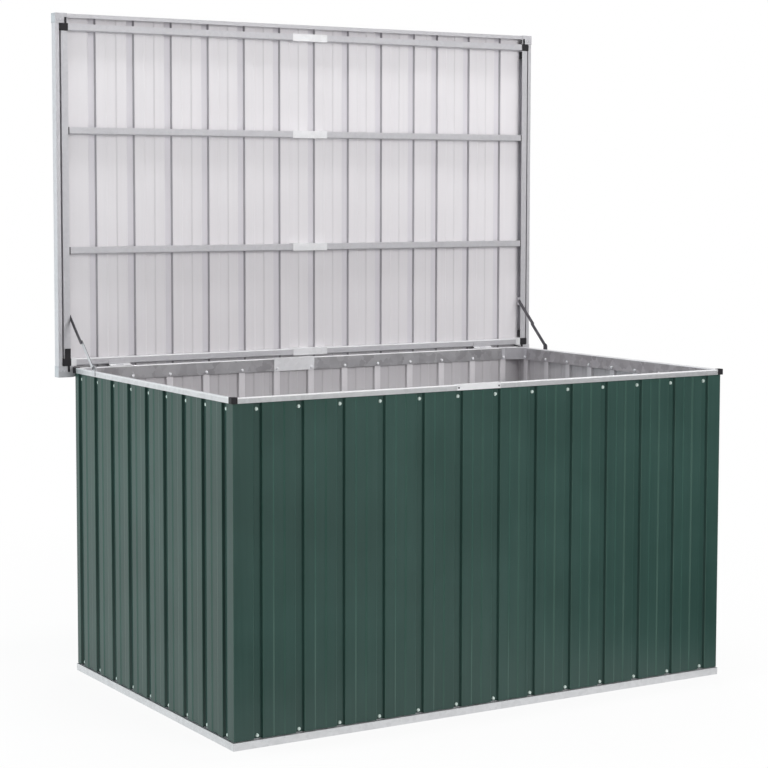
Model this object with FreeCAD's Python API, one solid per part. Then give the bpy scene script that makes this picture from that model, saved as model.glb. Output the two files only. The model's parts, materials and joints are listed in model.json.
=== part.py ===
import FreeCAD, Part
import math
import os

# Garden storage box of profiled steel sheet held in rolled channels, with a hinged lid.
# Millimetres, +Z up. The front faces -Y, and the origin is on the ground under the middle of the body.
# The lid is drawn open, as it rests, and closes by a quarter turn about the hinge line.

# Body
BODY_WIDTH = 1570.0
BODY_DEPTH = 980.0
RIM_HEIGHT = 881.0

# Rolled channels of the base and the rim
RAIL_WALL = 1.0
LIP_GAP = 2.0
BASE_LIP = 20.0
BASE_FLANGE = 40.0
RIM_LIP = 15.0
RIM_FLANGE = 39.0
SPLICE_WALL = 1.0
SPLICE_END = 10.0
CAP_WALL = 3.0
CAP_TOP = 1.5
CAP_ARM = 14.0
REAR_BRACKET_WALL = 1.2
REAR_BRACKET_END = 14.0

# Profiled sheet: flat pans with a shallow swage, and narrow ribs
SHEET = 0.6
SHEET_RAISE = 2.0
RIB_DEPTH = 8.0
RIB_MOUTH = 26.0
RIB_FLOOR = 19.0
SWAGE_WIDTH = 27.0
SWAGE_RAMP = 4.0
SWAGE_RISE = 2.0
LONG_PITCH = 119.8
LONG_START = 72.8
SIDE_PITCH = 111.6
SIDE_START = 36.7
LAP_TAIL = 7.0
LAP_STEP = 3.0
FLOOR_LAP = 20.0

# Bolts and nuts of the walls and the lid
BOLT_FLATS = 8.0
BOLT_HEAD = 3.0
NUT_HEIGHT = 3.0
TOP_BOLT_DROP = 31.0
BASE_BOLT_RISE = 29.0
SPLICE_SCREW_R = 2.5
SPLICE_SCREW_HEAD = 0.8
SPLICE_SCREW_INSET = 6.0
SPLICE_SCREW_DROP = 8.0

# Hinges
HINGE_LENGTH = 67.0
HINGE_FROM_SIDE = 145.0
LEAF_WALL = 1.5
LEAF_GAP = 0.4
LEAF_REACH = 12.0
KNUCKLE_R = 3.25
KNUCKLE_CLEAR = 0.4
KNUCKLE_END_GAP = 0.3
PIN_R = 1.75
PIN_CLEAR = 0.3

# Folding stays beside the walls
STAY_REACH = 145.0
STAY_PIVOT_RISE = 7.0
LINK_WIDTH = 12.0
LINK_WALL = 1.5
LINK_GAP = 0.35
FOOT_WALL = 1.5
FOOT_WIDTH = 20.0
FOOT_DROP = 13.0
RIVET_R = 2.0
RIVET_CLEAR = 0.3
RIVET_HEAD_R = 4.5
RIVET_HEAD = 0.6

# Lid
OVERHANG_SIDE = 43.5
OVERHANG_FRONT = 22.0
OVERHANG_BACK = 31.5
TUBE = 20.0
TUBE_WALL = 1.0
REAR_RAIL_GAP = 4.0
FRONT_RAIL_SETBACK = 6.0
REAR_BAY = 320.0
FRONT_BAY = 292.0
SLEEVE_LENGTH = 120.0
END_SLEEVE = 17.0
SLEEVE_WALL = 1.0
TRIM_WALL = 1.0
TRIM_HEIGHT = 28.0
TRIM_LIP = 11.5
TRIM_FLANGE = 20.0
TRIM_CLEAR = 0.3
LID_PITCH = 121.0
LID_START = 118.5
LID_LAP_PITCH = 87.6
LID_SHEET_RIBS = 10
LID_LAP = 20.0
LID_BOLT_OFFSET = 28.0
PLATE_WALL = 1.2
FRONT_PLATE_ARM = 36.0
REAR_PLATE_ARM = 46.0
PLATE_CLEAR = 0.5
JOINT_PROUD = 2.0
JOINT_SIDE = 4.0
JOINT_LAP = 1.0
JOINT_END = 0.5
JOINT_PAD = 29.0
JOINT_PAD_WIDTH = 18.0
JOINT_TONGUE = 17.0
JOINT_TONGUE_WIDTH = 6.0
JOINT_TONGUE_INSET = 3.0
JOINT_CHAMFER = 2.0
RAIL_PLUG = 3.0
RAIL_PLUG_PROUD = 0.5
SPIGOT_LENGTH = 25.0
SPIGOT_CLEAR = 0.2

# Places that follow from those sizes
PAN_FACE = RAIL_WALL + LIP_GAP
FLANGE_FACE = PAN_FACE + RIB_DEPTH + SHEET
RAIL_WIDTH = FLANGE_FACE + RAIL_WALL
BOLT_R = BOLT_FLATS / math.sqrt(3.0)

HINGE_Y = BODY_DEPTH / 2 + KNUCKLE_R + KNUCKLE_CLEAR
HINGE_Z = RIM_HEIGHT + LEAF_WALL + LEAF_GAP / 2
TUBE_FACE = RIM_HEIGHT + 2 * LEAF_WALL + LEAF_GAP
LID_PAN = TUBE_FACE + TUBE
TRIM_TOP = LID_PAN + RIB_DEPTH + SHEET + TRIM_WALL
TRIM_FOOT = TRIM_TOP - TRIM_HEIGHT

LID_WIDTH = BODY_WIDTH + 2 * OVERHANG_SIDE
LID_DEPTH = BODY_DEPTH + OVERHANG_FRONT + OVERHANG_BACK
LID_MIDDLE = (OVERHANG_BACK - OVERHANG_FRONT) / 2
LID_FRONT = -BODY_DEPTH / 2 - OVERHANG_FRONT
LID_BACK = BODY_DEPTH / 2 + OVERHANG_BACK

# Planes of the stays, counted outwards from the side of the body
LOWER_IN = FOOT_WALL + LINK_GAP
LOWER_OUT = LOWER_IN + LINK_WALL
FOOT_HEAD_IN = LOWER_OUT + LINK_GAP
FOOT_HEAD_OUT = FOOT_HEAD_IN + RIVET_HEAD
LID_HEAD_IN = FOOT_HEAD_OUT + LINK_GAP
LID_HEAD_OUT = LID_HEAD_IN + RIVET_HEAD
UPPER_IN = LID_HEAD_OUT + LINK_GAP
UPPER_OUT = UPPER_IN + LINK_WALL
TUBE_IN = UPPER_OUT + LINK_GAP
TUBE_OUT = TUBE_IN + TUBE

REAR_RAIL_Y = HINGE_Y - REAR_RAIL_GAP - TUBE / 2
FRONT_RAIL_Y = -BODY_DEPTH / 2 + TUBE / 2 + FRONT_RAIL_SETBACK
LID_RAILS = {
    "rear": REAR_RAIL_Y,
    "aft": REAR_RAIL_Y - REAR_BAY,
    "fore": FRONT_RAIL_Y + FRONT_BAY,
    "front": FRONT_RAIL_Y,
}

# Each wall is drawn as the front one, u along it from left to right as seen from outside and d inwards,
# and is then turned into its place.
SIDES = ("front", "right", "back", "left")


def vec(x, y, z):
    return FreeCAD.Vector(x, y, z)


def wall_length(side):
    return BODY_WIDTH if side in ("front", "back") else BODY_DEPTH


def place(shape, side, width=BODY_WIDTH, depth=BODY_DEPTH, middle=0.0):
    """Turn a shape drawn in a wall's own u, d and z to that side of a rectangle."""
    corners = {
        "front": (-width / 2, -depth / 2),
        "right": (width / 2, -depth / 2),
        "back": (width / 2, depth / 2),
        "left": (-width / 2, depth / 2),
    }
    placed = shape.copy()
    placed.rotate(vec(0, 0, 0), vec(0, 0, 1), 90 * SIDES.index(side))
    x, y = corners[side]
    placed.translate(vec(x, y + middle, 0))
    return placed


def open_lid(shape):
    """Swing a piece of the closed lid up to where it rests when open."""
    opened = shape.copy()
    opened.rotate(vec(0, HINGE_Y, HINGE_Z), vec(1, 0, 0), -90)
    return opened


def prism(points, to_space, sweep):
    """Extrude a closed outline of flat points."""
    corners = [to_space(a, b) for a, b in points]
    outline = Part.makePolygon(corners + corners[:1])
    return Part.Face(outline).extrude(sweep)


def block(low, high):
    size = high - low
    return Part.makeBox(size.x, size.y, size.z, low)


def first_solid(shape):
    return shape.removeSplitter().Solids[0]


def save(name, shapes):
    solids = shapes if isinstance(shapes, list) else [shapes]
    shape = solids[0] if len(solids) == 1 else Part.makeCompound(solids)
    shape.exportStep("parts/" + name + ".step")


# Rolled channels

def mitred_bar(section, length, width, start=None, end=None):
    """A bar of a (d, z) section along u, mitred at both ends or cut square at start or end."""
    bar = prism(section, lambda d, z: vec(0, d, z), vec(length, 0, 0))
    left = (0, width) if start is None else (start, start)
    right = (length, length - width) if end is None else (end, end)
    plan = [(left[0], 0), (right[0], 0), (right[1], width), (left[1], width)]
    low = min(z for d, z in section)
    high = max(z for d, z in section)
    cutter = prism(plan, lambda u, d: vec(u, d, low), vec(0, 0, high - low))
    return first_solid(bar.common(cutter))


def base_section():
    return [
        (0, 0), (RAIL_WIDTH, 0), (RAIL_WIDTH, BASE_FLANGE), (FLANGE_FACE, BASE_FLANGE),
        (FLANGE_FACE, RAIL_WALL), (RAIL_WALL, RAIL_WALL), (RAIL_WALL, BASE_LIP), (0, BASE_LIP),
    ]


def rim_section():
    top = RIM_HEIGHT
    return [
        (0, top - RIM_LIP), (RAIL_WALL, top - RIM_LIP), (RAIL_WALL, top - RAIL_WALL),
        (FLANGE_FACE, top - RAIL_WALL), (FLANGE_FACE, top - RIM_FLANGE),
        (RAIL_WIDTH, top - RIM_FLANGE), (RAIL_WIDTH, top), (0, top),
    ]


def splice_section():
    top = RIM_HEIGHT
    wall = SPLICE_WALL
    return [
        (-wall, top - RIM_LIP), (0, top - RIM_LIP), (0, top), (RAIL_WIDTH, top),
        (RAIL_WIDTH, top - RIM_FLANGE), (RAIL_WIDTH + wall, top - RIM_FLANGE),
        (RAIL_WIDTH + wall, top + wall), (-wall, top + wall),
    ]


# Ribs of a wall and what lines up with them

def rib_centres(side):
    pitch = LONG_PITCH if side in ("front", "back") else SIDE_PITCH
    start = LONG_START if side in ("front", "back") else SIDE_START
    room = wall_length(side) - start - RAIL_WIDTH - RIB_MOUTH
    return [start + pitch * i for i in range(int(room / pitch) + 1)]


def lap_rib(ribs):
    return (len(ribs) + 1) // 2


def splice_ribs(side):
    """The two ribs whose bolts go through the rim splice."""
    ribs = rib_centres(side)
    first = len(ribs) // 2 - (1 if side == "front" else 0)
    return ribs[first], ribs[first + 1]


def rear_corner_ribs():
    """Ribs beside each rear corner: how far along the back and along the side wall each one is."""
    back = rib_centres("back")
    right = rib_centres("right")
    left = rib_centres("left")
    return {
        "right": (back[0], BODY_DEPTH - right[-1]),
        "left": (BODY_WIDTH - back[-1], left[0]),
    }


# Profiled sheets

def offset_line(points, distance):
    """The same open line moved to its left by a distance, with mitred corners."""
    normals = []
    for (ax, ay), (bx, by) in zip(points, points[1:]):
        length = math.hypot(bx - ax, by - ay)
        normals.append((-(by - ay) / length, (bx - ax) / length))
    moved = []
    for i, (x, y) in enumerate(points):
        nx, ny = normals[max(i - 1, 0)]
        mx, my = normals[min(i, len(normals) - 1)]
        scale = distance / (1 + nx * mx + ny * my)
        moved.append((x + (nx + mx) * scale, y + (ny + my) * scale))
    return moved


def sheet_outline(line, thickness=SHEET):
    return line + offset_line(line, thickness)[::-1]


def rib_points(centre):
    return [
        (centre - RIB_MOUTH / 2, 0), (centre - RIB_FLOOR / 2, RIB_DEPTH),
        (centre + RIB_FLOOR / 2, RIB_DEPTH), (centre + RIB_MOUTH / 2, 0),
    ]


def swage_points(centre):
    half = SWAGE_WIDTH / 2
    return [
        (centre - half - SWAGE_RAMP, 0), (centre - half, SWAGE_RISE),
        (centre + half, SWAGE_RISE), (centre + half + SWAGE_RAMP, 0),
    ]


def ribbed_line(ribs):
    """Ribs with a swage in the middle of each pan between them."""
    line = rib_points(ribs[0])
    for before, rib in zip(ribs, ribs[1:]):
        line += swage_points((before + rib) / 2) + rib_points(rib)
    return line


def wall_lines(side):
    """Outside lines of a wall's two sheets, which nest in each other at one rib."""
    length = wall_length(side)
    ribs = rib_centres(side)
    lap = lap_rib(ribs)
    returned = side in ("front", "back")
    edge = PAN_FACE + (SHEET if returned else 0)
    corner_fold = [(edge, RIB_DEPTH)] if returned else []
    far_fold = [(length - edge, RIB_DEPTH)] if returned else []

    tail = ribs[lap] + RIB_MOUTH / 2 + LAP_TAIL
    under = corner_fold + [(edge, 0)] + ribbed_line(ribs[:lap + 1]) + [(tail, 0)]

    nest = [(ribs[lap] - RIB_MOUTH / 2 - LAP_TAIL, 0)] + rib_points(ribs[lap])
    nest.append((tail + LAP_STEP, 0))
    over = offset_line(nest, -SHEET) + [(tail + 2 * LAP_STEP, 0)]
    if lap + 1 < len(ribs):
        over += swage_points((ribs[lap] + ribs[lap + 1]) / 2) + ribbed_line(ribs[lap + 1:])
    over += [(length - edge, 0)] + far_fold
    return under, over


def wall_sheet(line):
    """A sheet bolted to the inner flanges, from just above the base lip up to the top of the rim."""
    low = BASE_LIP + SHEET_RAISE
    high = RIM_HEIGHT - RAIL_WALL
    return prism(sheet_outline(line), lambda u, d: vec(u, PAN_FACE + d, low), vec(0, 0, high - low))


# Fasteners of the walls

def round_outline(a, b, radius, corners=12):
    """Corners of a circle; twelve are enough for a rivet or a screw head, and six make a hexagon."""
    turns = [2 * math.pi * i / corners for i in range(corners)]
    return [(a + radius * math.cos(turn), b + radius * math.sin(turn)) for turn in turns]


def hex_piece(u, z, near, far):
    outline = round_outline(u, z, BOLT_R, corners=6)
    return prism(outline, lambda a, b: vec(a, near, b), vec(0, far - near, 0))


def wall_fasteners(side):
    """Bolt heads in the grooves and nuts on the inner flanges, along both rails."""
    ribs = rib_centres(side)
    spliced = splice_ribs(side) if side in ("front", "back") else ()
    bracketed = {"back": (ribs[0], ribs[-1]), "right": ribs[-1:], "left": ribs[:1]}.get(side, ())
    heads = []
    nuts = []
    for i, rib in enumerate(ribs):
        groove = PAN_FACE + RIB_DEPTH - (SHEET if i == lap_rib(ribs) else 0)
        plate = 0.0
        if rib in spliced:
            plate = SPLICE_WALL
        if rib in bracketed:
            plate = REAR_BRACKET_WALL
        top = RIM_HEIGHT - TOP_BOLT_DROP
        for z, seat in ((top, RAIL_WIDTH + plate), (BASE_BOLT_RISE, RAIL_WIDTH)):
            heads.append(place(hex_piece(rib, z, groove - BOLT_HEAD, groove), side))
            nuts.append(place(hex_piece(rib, z, seat, seat + NUT_HEIGHT), side))
    return heads, nuts


def make_body():
    heads = []
    nuts = []
    for side in SIDES:
        length = wall_length(side)
        base = mitred_bar(base_section(), length, RAIL_WIDTH)
        save("base_rail_" + side, place(base, side))
        for number, line in enumerate(wall_lines(side), 1):
            save(f"{side}_wall_sheet_{number}", place(wall_sheet(line), side))
        side_heads, side_nuts = wall_fasteners(side)
        heads += side_heads
        nuts += side_nuts
    save("wall_bolts", heads)
    save("wall_nuts", nuts)


def make_rim():
    screws = []
    for side in ("front", "back"):
        first, second = splice_ribs(side)
        joint = (first + second) / 2
        for number, (start, end) in enumerate(((None, joint), (joint, None)), 1):
            rail = mitred_bar(rim_section(), BODY_WIDTH, RAIL_WIDTH, start, end)
            save(f"rim_rail_{side}_{number}", place(rail, side))
        start = first - SPLICE_END
        length = second + SPLICE_END - start
        splice = prism(splice_section(), lambda d, z: vec(start, d, z), vec(length, 0, 0))
        save("rim_splice_" + side, place(splice, side))
        for u in (start + SPLICE_SCREW_INSET, start + length - SPLICE_SCREW_INSET):
            outline = round_outline(u, RIM_HEIGHT - SPLICE_SCREW_DROP, SPLICE_SCREW_R)
            screw = prism(outline, lambda a, b: vec(a, -SPLICE_WALL, b), vec(0, -SPLICE_SCREW_HEAD, 0))
            screws.append(place(screw, side))
    for side in ("left", "right"):
        rail = mitred_bar(rim_section(), BODY_DEPTH, RAIL_WIDTH)
        save("rim_rail_" + side, place(rail, side))
    save("splice_screws", screws)
    save("rim_corner_caps", [place(rim_cap(), side) for side in SIDES])
    save("rear_corner_brackets", [rear_bracket(corner) for corner in ("right", "left")])


def rim_cap():
    """A moulded cap over one mitred corner of the rim, with an arm along each rail."""
    foot = RIM_HEIGHT - RIM_LIP
    top = RIM_HEIGHT + CAP_TOP
    outside = block(vec(-CAP_WALL, -CAP_WALL, foot), vec(CAP_ARM, CAP_ARM, top))
    corner = [
        edge for edge in outside.Edges
        if all(abs(v.X + CAP_WALL) + abs(v.Y + CAP_WALL) < 1e-6 for v in edge.Vertexes)
    ]
    outside = outside.makeFillet(CAP_WALL, corner)
    rails = block(vec(0, 0, foot), vec(CAP_ARM, CAP_ARM, RIM_HEIGHT))
    opening = block(vec(RAIL_WIDTH, RAIL_WIDTH, foot), vec(CAP_ARM, CAP_ARM, top))
    return first_solid(outside.cut(rails).cut(opening))


def rear_bracket(corner):
    """A plate across a rear corner, with its two ends folded flat on the rim's inner flanges and bolted there."""
    back_rib, side_rib = rear_corner_ribs()[corner]
    seat = RAIL_WIDTH
    half = REAR_BRACKET_END / 2
    line = [
        (seat, side_rib + half), (seat, side_rib - half), (back_rib - half, seat), (back_rib + half, seat),
    ]
    low = RIM_HEIGHT - RIM_FLANGE
    plate = prism(
        sheet_outline(line, REAR_BRACKET_WALL), lambda u, d: vec(u, d, low), vec(0, 0, RIM_FLANGE - RAIL_WALL)
    )
    plate = place(plate, "back")
    return plate if corner == "right" else plate.mirror(vec(0, 0, 0), vec(1, 0, 0))


def make_floor():
    """Two sheets that fill the ground inside the base, the right one lapped over the left."""
    end_x = BODY_WIDTH / 2 - RAIL_WIDTH
    end_y = BODY_DEPTH / 2 - RAIL_WIDTH
    lap = FLOOR_LAP / 2
    lines = {
        "left": [(-end_x, 0), (lap, 0)],
        "right": [(-lap, SHEET), (lap + LAP_STEP, SHEET), (lap + 2 * LAP_STEP, 0), (end_x, 0)],
    }
    for name, line in lines.items():
        sheet = prism(sheet_outline(line), lambda x, h: vec(x, -end_y, h), vec(0, 2 * end_y, 0))
        save("floor_sheet_" + name, sheet)


# Hinges

def knuckle_spans(centre):
    """Three knuckles along the pin: the outer two are the body's, the middle one is the lid's."""
    third = HINGE_LENGTH / 3
    start = centre - HINGE_LENGTH / 2
    gap = KNUCKLE_END_GAP / 2
    return [
        (start, start + third - gap),
        (start + third + gap, start + 2 * third - gap),
        (start + 2 * third + gap, start + HINGE_LENGTH),
    ]


def hinge_leaf(centre, low, spans):
    """A flat leaf in front of the hinge line with its knuckles rolled round the pin."""
    front = HINGE_Y - KNUCKLE_R - KNUCKLE_CLEAR - LEAF_REACH
    stop = HINGE_Y - KNUCKLE_R - KNUCKLE_CLEAR
    half = HINGE_LENGTH / 2
    leaf = block(vec(centre - half, front, low), vec(centre + half, stop, low + LEAF_WALL))
    for start, end in spans:
        leaf = leaf.fuse(block(vec(start, front, low), vec(end, HINGE_Y, low + LEAF_WALL)))
        seat = vec(start, HINGE_Y, HINGE_Z)
        leaf = leaf.fuse(Part.makeCylinder(KNUCKLE_R, end - start, seat, vec(1, 0, 0)))
    bore_start = vec(centre - half, HINGE_Y, HINGE_Z)
    bore = Part.makeCylinder(PIN_R + PIN_CLEAR, HINGE_LENGTH, bore_start, vec(1, 0, 0))
    return first_solid(leaf.cut(bore))


def make_hinges():
    body_leaves = []
    lid_leaves = []
    pins = []
    for sign in (-1, 1):
        centre = sign * (BODY_WIDTH / 2 - HINGE_FROM_SIDE)
        spans = knuckle_spans(centre)
        body_leaves.append(hinge_leaf(centre, RIM_HEIGHT, spans[0::2]))
        lid_leaves.append(open_lid(hinge_leaf(centre, TUBE_FACE - LEAF_WALL, spans[1::2])))
        pin_start = vec(centre - HINGE_LENGTH / 2, HINGE_Y, HINGE_Z)
        pins.append(Part.makeCylinder(PIN_R, HINGE_LENGTH, pin_start, vec(1, 0, 0)))
    save("hinge_body_leaves", body_leaves)
    save("hinge_lid_leaves", lid_leaves)
    save("hinge_pins", pins)


# Folding stays. The lid pivot comes down onto the foot pivot as the lid closes, so the links are half
# as long as the distance between the two when the lid stands open.

LID_PIVOT = (HINGE_Y + STAY_PIVOT_RISE, HINGE_Z + STAY_REACH)
FOOT_PIVOT = (HINGE_Y - STAY_REACH, HINGE_Z + STAY_PIVOT_RISE)
MID_PIVOT = ((LID_PIVOT[0] + FOOT_PIVOT[0]) / 2, (LID_PIVOT[1] + FOOT_PIVOT[1]) / 2)


def outward(sign, start, end):
    """Lowest x of a layer beside one wall, and its thickness."""
    near = BODY_WIDTH / 2 + start
    far = BODY_WIDTH / 2 + end
    return (near if sign > 0 else -far), far - near


def stay_link(sign, eye, tip, start, end):
    """A flat bar with round ends and a rivet hole in its eye."""
    x, height = outward(sign, start, end)
    angle = math.atan2(tip[1] - eye[1], tip[0] - eye[0])
    half = LINK_WIDTH / 2

    def around(pivot, turn):
        return vec(x, pivot[0] + half * math.cos(angle + turn), pivot[1] + half * math.sin(angle + turn))

    quarter = math.pi / 2
    left_eye, left_tip = around(eye, quarter), around(tip, quarter)
    right_eye, right_tip = around(eye, -quarter), around(tip, -quarter)
    edges = [
        Part.LineSegment(left_eye, left_tip).toShape(),
        Part.Arc(left_tip, around(tip, 0), right_tip).toShape(),
        Part.LineSegment(right_tip, right_eye).toShape(),
        Part.Arc(right_eye, around(eye, math.pi), left_eye).toShape(),
    ]
    bar = Part.Face(Part.Wire(edges)).extrude(vec(height, 0, 0))
    hole = Part.makeCylinder(RIVET_R + RIVET_CLEAR, height, vec(x, eye[0], eye[1]), vec(1, 0, 0))
    return first_solid(bar.cut(hole))


def rivet_disc(sign, pivot, radius, start, end):
    x, height = outward(sign, start, end)
    return prism(round_outline(pivot[0], pivot[1], radius), lambda y, z: vec(x, y, z), vec(height, 0, 0))


def rivet(sign, pivot, shank_start, shank_end, head_start, head_end):
    shank = rivet_disc(sign, pivot, RIVET_R, shank_start, shank_end)
    head = rivet_disc(sign, pivot, RIVET_HEAD_R, head_start, head_end)
    return first_solid(shank.fuse(head))


def stay_foot(sign):
    """A plate on the outer lip of the rim that stands up to the foot pivot."""
    x, height = outward(sign, 0, FOOT_WALL)
    y, z = FOOT_PIVOT
    half = FOOT_WIDTH / 2
    low = RIM_HEIGHT - FOOT_DROP
    edges = [
        Part.LineSegment(vec(x, y + half, z), vec(x, y + half, low)).toShape(),
        Part.LineSegment(vec(x, y + half, low), vec(x, y - half, low)).toShape(),
        Part.LineSegment(vec(x, y - half, low), vec(x, y - half, z)).toShape(),
        Part.Arc(vec(x, y - half, z), vec(x, y, z + half), vec(x, y + half, z)).toShape(),
    ]
    return Part.Face(Part.Wire(edges)).extrude(vec(height, 0, 0))


def make_stays():
    feet = []
    foot_rivets = []
    lid_rivets = []
    for name, sign in (("left", -1), ("right", 1)):
        feet.append(stay_foot(sign))
        foot_rivets.append(rivet(sign, FOOT_PIVOT, FOOT_WALL, FOOT_HEAD_IN, FOOT_HEAD_IN, FOOT_HEAD_OUT))
        lid_rivets.append(rivet(sign, LID_PIVOT, LID_HEAD_OUT, TUBE_IN, LID_HEAD_IN, LID_HEAD_OUT))
        save("stay_lower_" + name, stay_link(sign, FOOT_PIVOT, MID_PIVOT, LOWER_IN, LOWER_OUT))
        save("stay_upper_" + name, stay_link(sign, LID_PIVOT, MID_PIVOT, UPPER_IN, UPPER_OUT))
        spacer = rivet_disc(sign, MID_PIVOT, RIVET_HEAD_R, LOWER_OUT, LID_HEAD_OUT)
        save("stay_centre_rivet_" + name, spacer)
    save("stay_feet", feet)
    save("stay_foot_rivets", foot_rivets)
    save("stay_lid_rivets", lid_rivets)


# Lid, drawn closed and swung open

def lid_rib_centres():
    """Ribs of the two lid sheets, counted from the middle of the lid."""
    first = [-LID_WIDTH / 2 + LID_START + LID_PITCH * i for i in range(LID_SHEET_RIBS)]
    start = first[-1] + LID_LAP_PITCH
    room = LID_WIDTH / 2 - TRIM_FLANGE - RIB_MOUTH - start
    second = [start + LID_PITCH * i for i in range(int(room / LID_PITCH) + 1)]
    return first, second


def make_lid_sheets():
    first, second = lid_rib_centres()
    edge = LID_WIDTH / 2 - TRIM_WALL - TRIM_CLEAR
    middle = (first[-1] + second[0]) / 2
    lap = LID_LAP / 2
    lines = {
        "lid_sheet_1": [(-edge, 0)] + ribbed_line(first) + [(middle + lap, 0)],
        "lid_sheet_2": [(middle - lap, SHEET), (middle + lap + LAP_STEP / 2, SHEET),
                        (middle + lap + LAP_STEP, 0)] + ribbed_line(second) + [(edge, 0)],
    }
    front = LID_FRONT + TRIM_WALL + TRIM_CLEAR
    back = LID_BACK - TRIM_WALL - TRIM_CLEAR
    for name, line in lines.items():
        sheet = prism(sheet_outline(line), lambda x, h: vec(x, front, LID_PAN + h), vec(0, back - front, 0))
        save(name, open_lid(sheet))
    bolts = []
    for rib in first + second:
        for rail in LID_RAILS.values():
            outline = round_outline(rib + LID_BOLT_OFFSET, rail, BOLT_R, corners=6)
            head = prism(outline, lambda x, y: vec(x, y, LID_PAN + SHEET), vec(0, 0, BOLT_HEAD))
            bolts.append(open_lid(head))
    save("lid_bolts", bolts)


def make_lid_trim():
    section = [
        (0, TRIM_FOOT), (TRIM_LIP, TRIM_FOOT), (TRIM_LIP, TRIM_FOOT + TRIM_WALL),
        (TRIM_WALL, TRIM_FOOT + TRIM_WALL), (TRIM_WALL, TRIM_TOP - TRIM_WALL),
        (TRIM_FLANGE, TRIM_TOP - TRIM_WALL), (TRIM_FLANGE, TRIM_TOP), (0, TRIM_TOP),
    ]
    plates = []
    for side in SIDES:
        length = LID_WIDTH if side in ("front", "back") else LID_DEPTH
        trim = mitred_bar(section, length, TRIM_FLANGE)
        save("lid_trim_" + side, open_lid(place(trim, side, LID_WIDTH, LID_DEPTH, LID_MIDDLE)))
        plate = place(lid_corner_plate(side), side, LID_WIDTH, LID_DEPTH, LID_MIDDLE)
        plates.append(open_lid(plate))
    save("lid_corner_plates", plates)


def joint_span(end):
    """Front and back faces of the corner joints at the front or the rear end of the frame."""
    rail = LID_RAILS[end]
    return rail - TUBE / 2 - JOINT_END, rail + TUBE / 2 + JOINT_END


def lid_corner_plate(side):
    """A cap over one outer corner of the trim, as deep as the space beside the frame."""
    if side in ("front", "right"):
        width_arm = FRONT_PLATE_ARM
        depth_arm = joint_span("front")[0] - LID_FRONT - PLATE_CLEAR
    else:
        width_arm = REAR_PLATE_ARM
        depth_arm = LID_BACK - joint_span("rear")[1] - PLATE_CLEAR
    arm_u, arm_d = (width_arm, depth_arm) if side in ("front", "back") else (depth_arm, width_arm)
    outside = block(vec(-PLATE_WALL, -PLATE_WALL, TRIM_FOOT - PLATE_WALL), vec(arm_u, arm_d, TRIM_TOP))
    inside = block(vec(0, 0, TRIM_FOOT), vec(arm_u, arm_d, TRIM_TOP))
    return first_solid(outside.cut(inside))


def tube_along(axis, start, end, other, low):
    """A square tube along x or y, at a place on the other of these axes."""
    half = TUBE / 2
    wall = TUBE_WALL

    def box(inset):
        side_low, side_high = other - half + inset, other + half - inset
        bottom, top = low + inset, low + TUBE - inset
        if axis == "x":
            return block(vec(start, side_low, bottom), vec(end, side_high, top))
        return block(vec(side_low, start, bottom), vec(side_high, end, top))

    return first_solid(box(0).cut(box(wall)))


def make_lid_frame():
    tube_x = BODY_WIDTH / 2 + TUBE_IN + TUBE / 2
    tube_start = joint_span("front")[1]
    tube_end = joint_span("rear")[0]
    for name, sign in (("left", -1), ("right", 1)):
        save("lid_tube_" + name, open_lid(tube_along("y", tube_start, tube_end, sign * tube_x, TUBE_FACE)))
    sleeves = []
    plugs = []
    for name, y in LID_RAILS.items():
        if name in ("front", "rear"):
            end = BODY_WIDTH / 2 + TUBE_IN - JOINT_LAP
        else:
            end = BODY_WIDTH / 2 + TUBE_IN - RAIL_PLUG
            plugs += [open_lid(rail_plug(y, end)), open_lid(rail_plug(y, -end - RAIL_PLUG))]
        save(f"lid_rail_{name}_left", open_lid(tube_along("x", -end, 0, y, TUBE_FACE)))
        save(f"lid_rail_{name}_right", open_lid(tube_along("x", 0, end, y, TUBE_FACE)))
        sleeves.append(open_lid(rail_sleeve(y, -SLEEVE_LENGTH / 2, SLEEVE_LENGTH)))
        if name == "rear":
            sleeves.append(open_lid(rail_sleeve(y, -end, END_SLEEVE)))
            sleeves.append(open_lid(rail_sleeve(y, end - END_SLEEVE, END_SLEEVE)))
    save("lid_rail_sleeves", sleeves)
    save("lid_rail_plugs", plugs)
    joints = [corner_joint(end, sign) for end in ("front", "rear") for sign in (-1, 1)]
    save("lid_corner_joints", [open_lid(joint) for joint in joints])


def rail_sleeve(y, start, length):
    """A folded sleeve round three sides of a cross rail, over the joint of its halves or at an end."""
    half = TUBE / 2
    low = TUBE_FACE - SLEEVE_WALL
    section = [
        (-half - SLEEVE_WALL, low), (half + SLEEVE_WALL, low), (half + SLEEVE_WALL, LID_PAN),
        (half, LID_PAN), (half, TUBE_FACE), (-half, TUBE_FACE), (-half, LID_PAN),
        (-half - SLEEVE_WALL, LID_PAN),
    ]
    return prism(section, lambda d, z: vec(start, y + d, z), vec(length, 0, 0))


def rail_plug(y, start):
    """A moulded plug between the end of a middle rail and the side tube."""
    half = TUBE / 2 + RAIL_PLUG_PROUD
    low = TUBE_FACE - RAIL_PLUG_PROUD
    return block(vec(start, y - half, low), vec(start + RAIL_PLUG, y + half, LID_PAN))


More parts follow.
